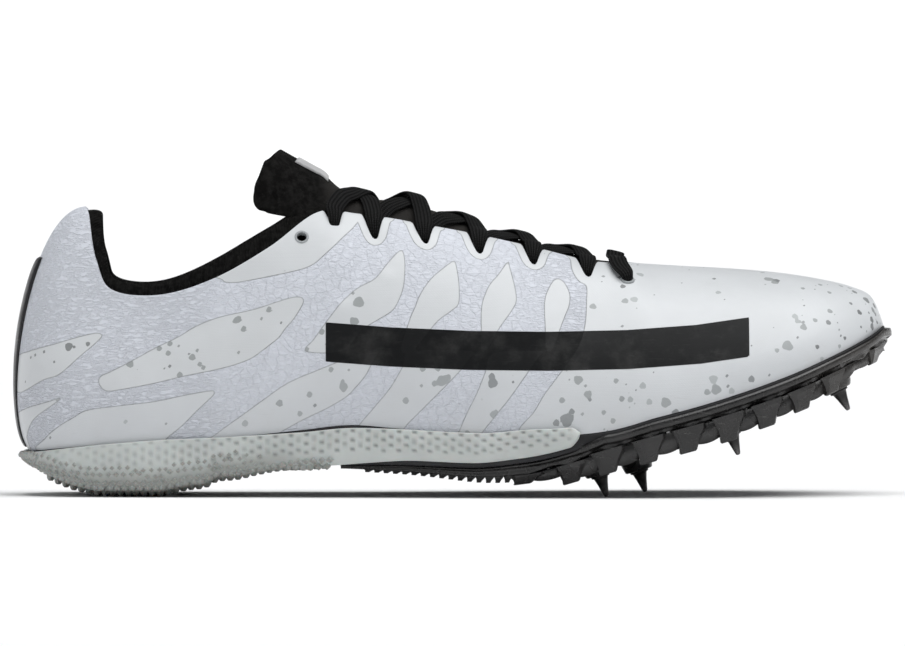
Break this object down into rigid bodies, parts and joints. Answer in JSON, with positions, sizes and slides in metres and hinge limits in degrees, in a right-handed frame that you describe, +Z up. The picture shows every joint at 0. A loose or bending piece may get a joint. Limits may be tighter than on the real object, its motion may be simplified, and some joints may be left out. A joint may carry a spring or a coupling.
{
  "type": "track spike shoe",
  "caption": "Low athletic shoe for running on a track, with a light mesh upper, a laced throat, a thin rubber heel and a stiff forefoot plate with spikes.",
  "frame": {"origin": "on the floor under the middle of the heel, on the flat face of the heel tread's middle nub", "axes": "+X towards the toe, +Y towards the inner side of the foot, +Z up"},
  "size_m": [0.2808, 0.0966, 0.111],
  "materials": {
    "mesh": "coated mesh with smooth film over it",
    "lining": "brushed black textile",
    "grey_film": "plain film",
    "black_film": "welded film",
    "liner_foam": "textile over thin foam",
    "black_foam": "moulded foam",
    "grey_rubber": "moulded, slightly translucent",
    "black_plastic": "moulded, satin",
    "spike_steel": "black coated steel",
    "lace": "flat woven cord"
  },
  "bodies": {
    "root": {"upper": "mesh", "collar_roll": "lining", "tongue": "lining", "tongue_patch": "grey_film", "heel_strip": "black_film", "insole": "liner_foam", "midsole_foam": "black_foam", "heel_cup": "grey_rubber", "spike_plate": "black_plastic", "spike_1": "spike_steel", "spike_2": "spike_steel", "spike_3": "spike_steel", "spike_4": "spike_steel", "spike_5": "spike_steel", "spike_6": "spike_steel", "lace_crossing_1": "lace", "lace_crossing_2": "lace", "lace_crossing_3": "lace", "lace_crossing_4": "lace", "lace_crossing_5": "lace", "lace_bar": "lace"}
  },
  "joints": []
}
